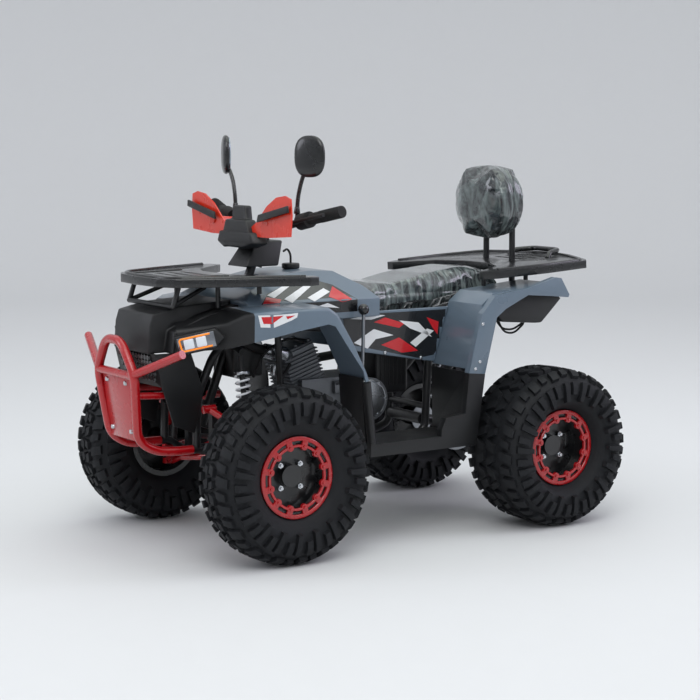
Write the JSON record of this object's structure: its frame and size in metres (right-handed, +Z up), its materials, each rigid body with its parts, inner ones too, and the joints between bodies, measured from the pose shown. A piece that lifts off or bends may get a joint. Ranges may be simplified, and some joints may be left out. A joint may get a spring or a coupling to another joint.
{
  "type": "quad bike",
  "caption": "Utility quad bike with racks, a backrest and a tubular bumper. Its wheels turn and its handlebar steers the front wheels through tie rods.",
  "frame": {"origin": "centre of the bounding box on the floor under the tyres", "axes": "+X forward, +Y to the rider's left, +Z up"},
  "size_m": [1.5893, 0.939, 1.151],
  "materials": {
    "frame_black": "satin",
    "red_paint": "gloss",
    "black_plastic": "grained",
    "gloss_black": "gloss",
    "grey_panel": "gloss",
    "red_plastic": "gloss",
    "lamp": "clear over silver",
    "tail_lamp": "clear red",
    "vinyl": "satin",
    "engine_alloy": "cast",
    "exhaust_steel": "satin",
    "spring_white": "gloss",
    "steel": "satin",
    "grip_rubber": "matte",
    "tyre_rubber": "matte",
    "rim_black": "gloss"
  },
  "bodies": {
    "chassis": {"main_frame": "frame_black", "frame_brackets": "frame_black", "front_bumper": "red_paint", "front_shroud": "black_plastic", "nose_panel": "black_plastic", "headlights": "lamp", "front_fenders": "grey_panel", "tank_cover": "grey_panel", "fuel_cap": "black_plastic", "seat": "vinyl", "side_panels": "grey_panel", "rear_fenders": "grey_panel", "front_rack": "gloss_black", "front_rack_frame": "frame_black", "rear_rack": "gloss_black", "rear_rack_frame": "frame_black", "backrest_pad": "vinyl", "footboards": "black_plastic", "engine": "engine_alloy", "exhaust": "exhaust_steel", "suspension_arms": "red_paint", "front_shocks": "spring_white", "swingarm": "frame_black", "rear_shock": "spring_white", "gear_lever": "steel", "tail_panel": "black_plastic", "tail_light": "tail_lamp"},
    "steering": {"steering_stem": "frame_black", "handlebar": "frame_black", "bar_controls": "grip_rubber", "hand_guards": "red_plastic", "instrument_pod": "black_plastic", "mirrors": "gloss_black"},
    "knuckle_left": {"knuckle_left": "frame_black"},
    "knuckle_right": {"knuckle_right": "frame_black"},
    "tie_rod_left": {"tie_rod_left": "steel"},
    "tie_rod_right": {"tie_rod_right": "steel"},
    "front_wheel_left": {"front_tyre_left": "tyre_rubber", "front_rim_left": "rim_black", "bead_ring_front_left": "red_paint"},
    "front_wheel_right": {"front_tyre_right": "tyre_rubber", "front_rim_right": "rim_black", "bead_ring_front_right": "red_paint"},
    "rear_wheels": {"rear_tyres": "tyre_rubber", "rear_rims": "rim_black", "rear_bead_rings": "red_paint", "rear_axle": "steel"}
  },
  "joints": [
    {"name": "steering", "type": "hinge", "parent": "chassis", "child": "steering", "pos_m": [0.508, 0, 0.33], "axis": [-0.3551, 0, 0.9348], "range_deg": [-35, 35]},
    {"name": "kingpin_left", "type": "hinge", "parent": "chassis", "child": "knuckle_left", "pos_m": [0.455, 0.3, 0.243], "axis": [0, 0, 1], "range_deg": [-25, 25]},
    {"name": "tie_rod_left", "type": "hinge", "parent": "knuckle_left", "child": "tie_rod_left", "pos_m": [0.395, 0.27, 0.257], "axis": [0, 0, 1], "range_deg": [-30, 30]},
    {"name": "front_wheel_left", "type": "hinge", "parent": "knuckle_left", "child": "front_wheel_left", "pos_m": [0.455, 0.372, 0.243], "axis": [0, 1, 0], "continuous": true},
    {"name": "kingpin_right", "type": "hinge", "parent": "chassis", "child": "knuckle_right", "pos_m": [0.455, -0.3, 0.243], "axis": [0, 0, 1], "range_deg": [-25, 25]},
    {"name": "tie_rod_right", "type": "hinge", "parent": "knuckle_right", "child": "tie_rod_right", "pos_m": [0.395, -0.27, 0.257], "axis": [0, 0, 1], "range_deg": [-30, 30]},
    {"name": "front_wheel_right", "type": "hinge", "parent": "knuckle_right", "child": "front_wheel_right", "pos_m": [0.455, -0.372, 0.243], "axis": [0, 1, 0], "continuous": true},
    {"name": "rear_wheels", "type": "hinge", "parent": "chassis", "child": "rear_wheels", "pos_m": [-0.475, 0, 0.235], "axis": [0, 1, 0], "continuous": true}
  ],
  "couplings": [
    {"joint": "kingpin_left", "follows": "steering", "ratio": 0.714},
    {"joint": "tie_rod_left", "follows": "steering", "ratio": -0.85},
    {"joint": "kingpin_right", "follows": "steering", "ratio": 0.714},
    {"joint": "tie_rod_right", "follows": "steering", "ratio": -0.85}
  ]
}
